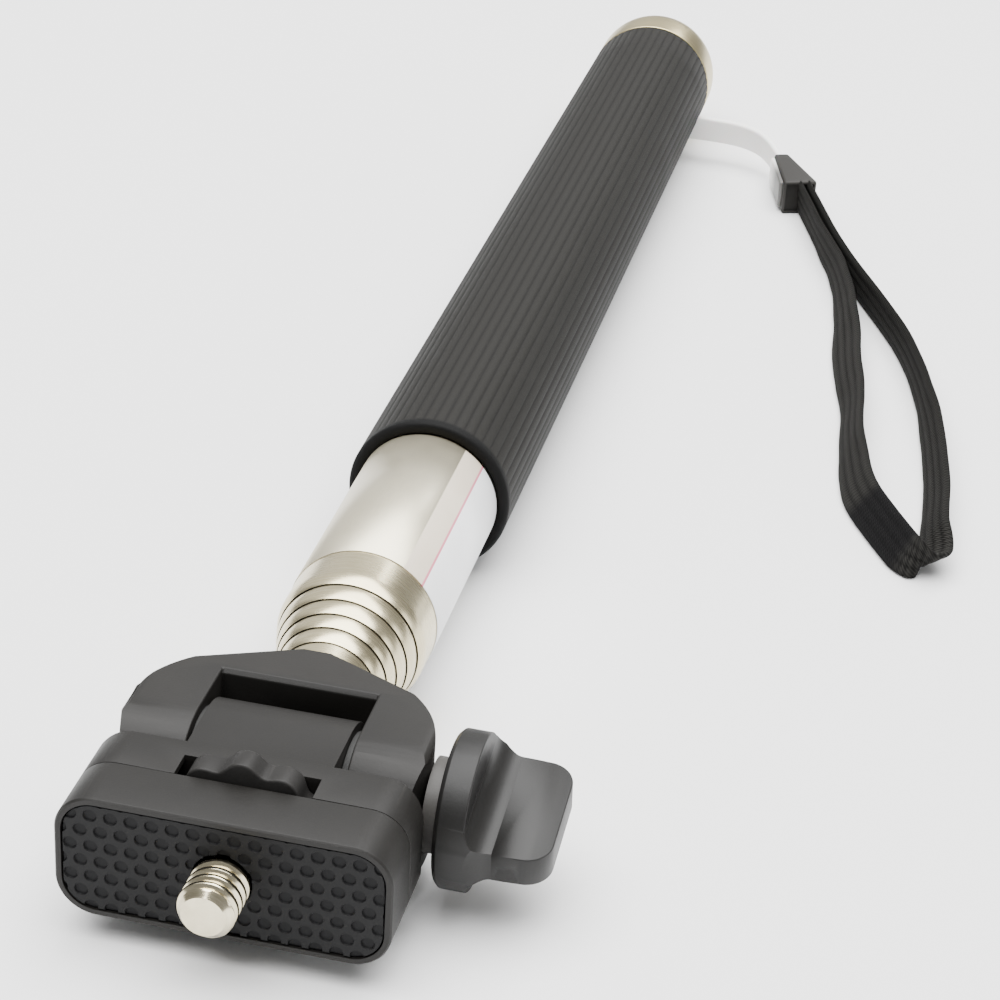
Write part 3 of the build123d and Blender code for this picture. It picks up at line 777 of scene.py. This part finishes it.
def cut_slot(shape):
    """Open the slot in the sleeve's right side that the band comes out of."""
    walls = [(band_up, slot_half_height), (band_up, -slot_half_height),
             (band_back, slot_half_width), (band_back, -slot_half_width)]
    for direction, reach in walls:
        near = [face for face in shape.faces if face.calc_center_median().x > 0
                and any(abs(vertex.co.y - strap_y) < slot_reach for vertex in face.verts)]
        cut(shape, near, band_root + direction * reach, direction)
    middles = [(face, face.calc_center_median() - band_root) for face in shape.faces]
    inside = [face for face, away in middles
              if away.x > 0 and abs(away.dot(band_up)) < slot_half_height
              and abs(away.dot(band_back)) < slot_half_width]
    bmesh.ops.delete(shape, geom=inside, context="FACES")
    bmesh.ops.bridge_loops(shape, edges=[edge for edge in shape.edges if edge.is_boundary])
    return len(inside)


sleeve_shape = ribbed_sleeve()
print(len(sleeve_shape.faces), "faces before the slot,", cut_slot(sleeve_shape), "cut out of it")

# %% [markdown]
# ## Foam rubber
#
# The sleeve's rubber is a warm dark grey. The ribs' crests are paler and the grooves darker,
# and the cut front end is painted nearly black, as painted shade. Fine pores roughen all of it.

# %% Make the rubber and the sleeve
def sleeve_rubber():
    finish = Finish("sleeve_rubber", Specular_IOR_Level=0.12)
    rib = attribute(finish, "rib")
    pores, cloud = finish.noise(0.16 * mm, 4, 0.65), finish.noise(12 * mm, 4, 0.6)
    y = finish.axes()[1]
    # Painted shade: the cut front end, before the ribs start, is painted nearly black.
    body = finish.step(y, ribs_start - 0.9 * mm, ribs_start)
    # Paler on the ribs' crests and darker in the grooves, with pores and clouds.
    crest_tone = finish.step(rib * 0.6 + pores * 0.25 + cloud * 0.3, 0.15, 1.0)
    skin = finish.mix(crest_tone, (0.0070, 0.0067, 0.0061), (0.0148, 0.0142, 0.0128))
    finish.feed("Base Color", finish.mix(body, (0.003, 0.003, 0.003), skin))
    finish.feed("Roughness", pores * 0.15 + cloud * 0.12 + 0.52)
    finish.bump(pores, 0.03 * mm)


sleeve_rubber()
make_piece("ribbed_sleeve", sleeve_shape, "sleeve_rubber", "handle", ["grip_sleeve"], crease=50)

# %% [markdown]
# ## Softening the moulded parts
#
# The fork, the camera seat's halves and the knob have their right shape in the packed
# model, with sharp edges and round walls of a few wide facets. A merged copy of each gets
# its flats made whole again. Planes through a round wall's axis cut it into even narrow
# facets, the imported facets' own edges go, and the corners are pushed out to the true radius.
# A Bevel modifier then rounds the edges that a hand feels, by the weight that each gets
# here. Every other sharp edge stays sharp.

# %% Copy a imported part, refine its round walls and round its edges
def refine_round(shape, centre, axis, radius, step=6):
    """Cut a round wall's wide facets every few degrees, and push them out to its radius."""
    centre, axis = Vector(centre), Vector(axis)
    start, least, most, slack = axis.orthogonal(), 0.965 * radius, 1.003 * radius, 0.4

    def spoke(vertex):
        away = vertex.co - centre
        return away - axis * away.dot(axis)

    def round_faces():
        return [face for face in shape.faces
                if all(least < spoke(corner).length < most for corner in face.verts)]

    def off_the_cuts(edge):
        away = spoke(edge.verts[0])
        turn = degrees(atan2(axis.dot(start.cross(away)), start.dot(away))) % step
        return slack < turn < step - slack

    def along_the_axis(edge):
        return abs((edge.verts[1].co - edge.verts[0].co).normalized().dot(axis)) > 0.99

    wall = set(round_faces())
    packed = [edge for edge in {edge for face in wall for edge in face.edges}
              if set(edge.link_faces) <= wall and along_the_axis(edge) and off_the_cuts(edge)]
    for angle in range(0, 180, step):
        cut(shape, round_faces(), centre, Matrix.Rotation(radians(angle), 3, axis) @ start)
    bmesh.ops.dissolve_edges(shape, edges=[edge for edge in packed if edge.is_valid], use_verts=True)
    for vertex in corners(round_faces()):
        out = spoke(vertex)
        vertex.co += out.normalized() * (radius - out.length)
    merge(shape, 0.06 * mm)


def softened(name, node, slot, body, width, felt, rounds=()):
    """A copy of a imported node: its round walls are refined, and its felt edges rounded."""
    shape = bmesh.new()
    shape.from_mesh(nodes[node].data)
    merge(shape, 1e-6)
    bmesh.ops.dissolve_limit(shape, angle_limit=radians(0.8), verts=shape.verts, edges=shape.edges)
    for centre, axis, radius in rounds:
        refine_round(shape, centre, axis, radius)
    weight = shape.edges.layers.float.new("bevel_weight_edge")
    for edge in shape.edges:
        angle = degrees(edge.calc_face_angle(0.0))
        if felt(edge.verts[0].co - hinge) and felt(edge.verts[1].co - hinge):
            edge[weight] = 1.0 if angle > square_edge else 0.4 if angle > soft_edge else 0.0
        edge.smooth = angle < soft_edge or edge[weight] > 0
    piece = make_piece(name, shape, slot, body, [node], crease=None)
    bevel = piece.modifiers.new("soft_edges", "BEVEL")
    bevel.width, bevel.segments, bevel.limit_method = width, 4, "WEIGHT"
    bevel.use_clamp_overlap = bevel.harden_normals = True


def on_the_fork(away):
    """Round the window, and on the arms' inner edges."""
    return hypot(away.y, away.z) > window_r and abs(away.x) < arm_face and away.y < fork_rear


def on_the_seat(away):
    """On the seat's round outline, or on the tongue round the hinge."""
    past_x, past_z = max(abs(away.x) - corner_x, 0), max(abs(away.z) - corner_z, 0)
    on_tongue = abs(away.x) < tongue_face and away.y > tongue_front
    return hypot(past_x, past_z) > outline_r or (hypot(away.y, away.z) > tongue_r and on_tongue)


def on_the_knob(away):
    """On the rims of the disc, or on the flat grip past its scoop."""
    return away.x > disc_face or (away.x < grip_face and hypot(away.y, away.z) > scoop_r)


square_edge, soft_edge = 60, 28
half_height, corner_r, corner_x, corner_z = 7.43 * mm, 4.45 * mm, 13.75 * mm, 2.98 * mm
window_r, arm_face, fork_rear = 6.6 * mm, 12 * mm, 9 * mm
outline_r, tongue_r, tongue_face, tongue_front = 4.3 * mm, 6.9 * mm, 9 * mm, -7.2 * mm
disc_face, grip_face, scoop_r = 25.8 * mm, 22.75 * mm, 8.2 * mm
arm_rounds = [((0, hinge.y, 0), (1, 0, 0), half_height)]
tongue_rounds = [((0, hinge.y, 0), (1, 0, 0), half_height - 0.08 * mm)]
corner_rounds = [((x * corner_x, 0, z * corner_z), (0, 1, 0), corner_r)
                 for x in (-1, 1) for z in (-1, 1)]
softened("hinge_fork", "fork", "head_plastic", "head", 0.7 * mm, on_the_fork, arm_rounds)
softened("seat_back", "seat_rear", "head_plastic", "seat", 0.3 * mm, on_the_seat,
         tongue_rounds + corner_rounds)
softened("seat_rim", "seat_front", "head_plastic", "seat", 0.3 * mm, on_the_seat, corner_rounds)
softened("clamp_knob", "knob", "knob_plastic", "knob", 0.7 * mm, on_the_knob)

# %% [markdown]
# ## The thumbwheel
#
# The wheel turns the camera screw, and only its upper edge shows through the slot. Its rim
# is a wave of 11 round lobes. A filled circle is pulled to the wave, extruded to the wheel's
# thickness, and its rims are bevelled.

# %% Shape the thumbwheel
wheel_low, wheel_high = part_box("thumbwheel")
lobe_count, lobe_parts, lobe_depth, lobe_turn = 11, 24, 1.0 * mm, radians(-2.0)
wheel_r = 9.75 * mm
wheel_shape = bmesh.new()
bmesh.ops.create_circle(wheel_shape, cap_ends=True, segments=lobe_count * lobe_parts, radius=1.0)
for vertex in wheel_shape.verts:
    turn = atan2(vertex.co.x, vertex.co.y)
    wave = (1 - cos(lobe_count * (turn - lobe_turn))) / 2
    reach = wheel_r - lobe_depth * wave ** 1.3
    vertex.co = (reach * sin(turn), wheel_low.y, reach * cos(turn))
wheel_side = bmesh.ops.extrude_face_region(wheel_shape, geom=list(wheel_shape.faces))["geom"]
bmesh.ops.translate(wheel_shape, vec=(0, wheel_high.y - wheel_low.y, 0),
                    verts=[part for part in wheel_side if isinstance(part, bmesh.types.BMVert)])
wheel_rims = [edge for edge in wheel_shape.edges
              if abs(edge.verts[0].co.y - edge.verts[1].co.y) < 1e-6]
round_edges(wheel_shape, wheel_rims, 0.30 * mm)
make_piece("lobed_wheel", wheel_shape, "wheel_plastic", "wheel", ["thumbwheel"], crease=40)

# %% [markdown]
# ## The camera screw
#
# A quarter inch screw has a turn every 1.27 mm. One tooth's outline is spun round the axis
# and moved back by a pitch each turn, so neighbouring turns meet and their doubles merge.
# The ends are cut flat, the tip is tapered, and a plain shank with a head carries on inside.

# %% Cut the thread
screw_low, screw_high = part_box("camera_screw")
screw_r, pitch, thread_depth, thread_steps, turns = 3.175 * mm, 1.27 * mm, 0.50 * mm, 72, 6
thread_end, tip_taper = 0.1 * mm, 0.8 * mm
tooth = [(screw_r - thread_depth, 0.0), (screw_r - thread_depth, 0.20 * mm),
         (screw_r - 0.12 * mm, 0.44 * mm), (screw_r - 0.03 * mm, 0.51 * mm),
         (screw_r, 0.62 * mm), (screw_r, 0.84 * mm), (screw_r - 0.03 * mm, 0.95 * mm),
         (screw_r - 0.12 * mm, 1.02 * mm), (screw_r - thread_depth, pitch)]
tooth_start = screw_low.y - pitch
screw_shape = bmesh.new()
spin(screw_shape, [(radius, tooth_start + y) for radius, y in tooth], thread_steps, turns, pitch)
merge(screw_shape, 1e-6)
for place, outwards in ((screw_low.y, (0, -1, 0)), (thread_end, (0, 1, 0))):
    cut(screw_shape, screw_shape.faces, (0, place, 0), outwards, True)
for vertex in screw_shape.verts:
    radius = hypot(vertex.co.x, vertex.co.z)
    most = screw_r - tip_taper + vertex.co.y - screw_low.y
    if radius > most:
        vertex.co.x, vertex.co.z = vertex.co.x * most / radius, vertex.co.z * most / radius
bmesh.ops.holes_fill(screw_shape, edges=screw_shape.edges, sides=0)
print("thread cut,", len(screw_shape.faces), "faces")

# %% Add the shank and the head
head_r, neck_r, head_front = 4.6 * mm, 2.7 * mm, wheel_high.y
shank = [(0, thread_end), (neck_r, thread_end), (neck_r, head_front), (head_r, head_front),
         (head_r, screw_high.y), (0, screw_high.y)]
spin(screw_shape, shank, 48)
make_piece("threaded_screw", screw_shape, "screw_steel", "wheel", ["camera_screw"], crease=35)

# %% [markdown]
# ## The rubber pad
#
# The camera sits on a rubber pad with small round dimples, packed like a honeycomb. One
# cell is a hexagon with a sunk circle in it. Its copies fill the pad, the pad's outline is
# cut with planes, and the cut edge is extruded back for the pad's side.

# %% Make one cell and repeat it
cell_pitch, row_pitch = 2.22 * mm, 1.9226 * mm
dimple_r, dimple_depth = 0.79 * mm, 0.22 * mm
field_x, field_z = 0.19 * mm, -0.53 * mm
pad_low, pad_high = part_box("rubber_pad")
pad_half = (pad_high - pad_low) / 2


def sideways(turn):
    """The direction in the pad's plane at an angle in degrees."""
    return Vector((cos(radians(turn)), 0, sin(radians(turn))))


def dimple_cell(shape, x, z):
    """A hexagon with a sunk round dimple, in the pad's face at x and z."""
    hexagon = bmesh.ops.create_circle(shape, segments=6, radius=cell_pitch / 3 ** 0.5)["verts"]
    circle = bmesh.ops.create_circle(shape, segments=12, radius=dimple_r)["verts"]
    rims = {edge for vertex in hexagon + circle for edge in vertex.link_edges}
    bmesh.ops.bridge_loops(shape, edges=list(rims))
    floor_rim = extruded(shape, [edge for edge in rims if edge.verts[0] in circle])
    floor_corners = list(corners(floor_rim))
    bmesh.ops.scale(shape, vec=(0.86, 0.86, 1), verts=floor_corners)
    bmesh.ops.translate(shape, vec=(0, 0, -dimple_depth), verts=floor_corners)
    bmesh.ops.contextual_create(shape, geom=floor_rim)
    made = hexagon + circle + floor_corners
    bmesh.ops.rotate(shape, cent=(0, 0, 0), matrix=Matrix.Rotation(pi / 2, 3, "X"), verts=made)
    bmesh.ops.translate(shape, vec=(x, 0, z), verts=made)


pad_shape = bmesh.new()
for row in range(-4, 5):
    for column in range(-9, 10):
        dimple_cell(pad_shape, field_x + (column + (row % 2) / 2) * cell_pitch,
                    field_z + row * row_pitch)
merge(pad_shape, 5e-6)
print("pad field of", len(pad_shape.faces), "faces")

# %% Cut the outline and the hole for the screw
pad_corner, hole_r = 3.5 * mm, 3.3 * mm


def pad_faces_within(reach):
    """The pad's faces whose middles lie closer to the screw's axis than the reach."""
    return [face for face in pad_shape.faces if hypot(*face.calc_center_median().xz) < reach]


for turn in range(0, 360, 10):
    outwards = sideways(turn)
    corner = Vector((copysign(pad_half.x - pad_corner, outwards.x), 0,
                     copysign(pad_half.z - pad_corner, outwards.z)))
    cut(pad_shape, pad_shape.faces, corner + outwards * pad_corner, outwards, True)
for turn in range(0, 360, 15):
    outwards = sideways(turn)
    cut(pad_shape, pad_faces_within(hole_r + 1.6 * mm), outwards * hole_r, outwards)
bmesh.ops.delete(pad_shape, geom=pad_faces_within(hole_r * 0.995), context="FACES")
pad_sides = extruded(pad_shape, [edge for edge in pad_shape.edges if edge.is_boundary])
for vertex in corners(pad_sides):
    vertex.co.y = pad_high.y
print("pad cut to", round(2 * pad_half.x / mm, 2), "by", round(2 * pad_half.z / mm, 2), "mm")

# %% Make the pad's rubber
def pad_rubber():
    finish = Finish("pad_rubber", Specular_IOR_Level=0.16)
    grain, cloud = finish.noise(0.12 * mm, 4, 0.6), finish.noise(6 * mm, 3)
    y = finish.axes()[1]
    # Painted shade: everything sunk behind the pad's face, the dimples' floors and the pad's sides,
    # is painted darker.
    sunk = finish.step(y, 0.02 * mm, 0.20 * mm)
    face = finish.mix(grain * 0.5 + cloud * 0.5, (0.006, 0.006, 0.0062), (0.011, 0.011, 0.0113))
    finish.feed("Base Color", finish.mix(sunk, face, (0.005, 0.005, 0.0055)))
    finish.feed("Roughness", grain * 0.15 + cloud * 0.10 + 0.45)
    finish.bump(grain, 0.015 * mm)


pad_rubber()
make_piece("dimpled_pad", pad_shape, "pad_rubber", "seat", ["rubber_pad"])

# %% [markdown]
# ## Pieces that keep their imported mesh
#
# The small inner pieces already have the shape that they need. Each gets its own material
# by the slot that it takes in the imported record.

# %% Finish the inner pieces
inner_finishes = {
    "black_nylon": ("end_plug", "pole_plug", "friction_washers"),
    "bush_nylon": [f"bush_{number}" for number in range(2, 7)],
    "zinc_steel": ("strap_pin", "pole_screw", "hinge_bolt", "knob_nut", "seat_screws"),
    "washer_nylon": ("knob_washer",),
}
for slot, names in inner_finishes.items():
    for name in names:
        nodes[name].data.materials[0] = finishes[slot]
print("inner finishes given:", *inner_finishes)

# %% [markdown]
# ## Floor and light
#
# The pole lies on a plain pale floor. The main softbox hangs above it, and weak wide ones
# stand behind and on the right. A small one behind makes the hard streak along the steel.
# The side towards the camera gets little, so faces that look at the camera stay dark.

# %% Set the stage
bpy.ops.mesh.primitive_plane_add(size=8, location=(0, 0, ground))
floor = bpy.context.object
floor.name = "floor"
Finish("floor", Base_Color=(0.85, 0.85, 0.85, 1), Roughness=0.8, Specular_IOR_Level=0.1)
floor.data.materials.append(finishes["floor"])

world = bpy.data.worlds.new("studio")
bpy.context.scene.world = world
world.use_nodes = True
backdrop = world.node_tree.nodes["Background"]
backdrop.inputs["Color"].default_value = (1, 1, 1, 1)
backdrop.inputs["Strength"].default_value = 0.35


def softbox(name, place, size, power):
    """A rectangular area light that looks at a point of the pole."""
    light = bpy.data.objects.new(name, bpy.data.lights.new(name, "AREA"))
    light.data.shape = "RECTANGLE"
    light.data.size, light.data.size_y, light.data.energy = *size, power
    light.location = place
    light.rotation_euler = (aim - light.location).to_track_quat("-Z", "Y").to_euler()
    bpy.context.collection.objects.link(light)


aim = Vector((0.02, 0.08, 0.0))
softbox("back_light", (-0.50, 1.20, 0.75), (2.4, 1.3), 8)
softbox("streak_light", (0.21, 1.0, 0.52), (0.08, 0.25), 0.9)
softbox("top_light", (0.0, 0.10, 1.30), (2.0, 1.5), 92)
softbox("right_light", (1.5, 0.0, 0.45), (1.0, 0.6), 6)
print("floor and lights set")
